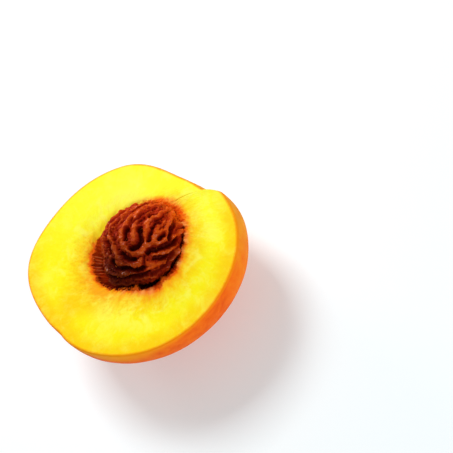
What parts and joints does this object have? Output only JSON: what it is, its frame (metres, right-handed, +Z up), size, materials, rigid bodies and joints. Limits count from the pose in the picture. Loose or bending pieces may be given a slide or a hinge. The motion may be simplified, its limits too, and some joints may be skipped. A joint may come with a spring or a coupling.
{
  "type": "peach half",
  "caption": "Half a yellow peach with the stone in, lying on its round back with the cut face up: furrowed stone proud of its hollow, stem notch and seam in the face.",
  "frame": {"origin": "on the floor, under the middle of the whole, at the small flat spot that the round back rests on", "axes": "+X from the blossom tip to the stem, +Z up out of the cut face, +Y across the face so that the axes are right-handed"},
  "size_m": [0.0744, 0.0724, 0.0457],
  "materials": {
    "flesh": "moist yellow flesh, deeper gold to the rim and orange-red round the stone; velvety golden-orange skin on the back",
    "stone": "damp red-brown woody shell, deeply furrowed"
  },
  "bodies": {
    "root": {"flesh": "flesh", "stone": "stone"}
  },
  "joints": []
}
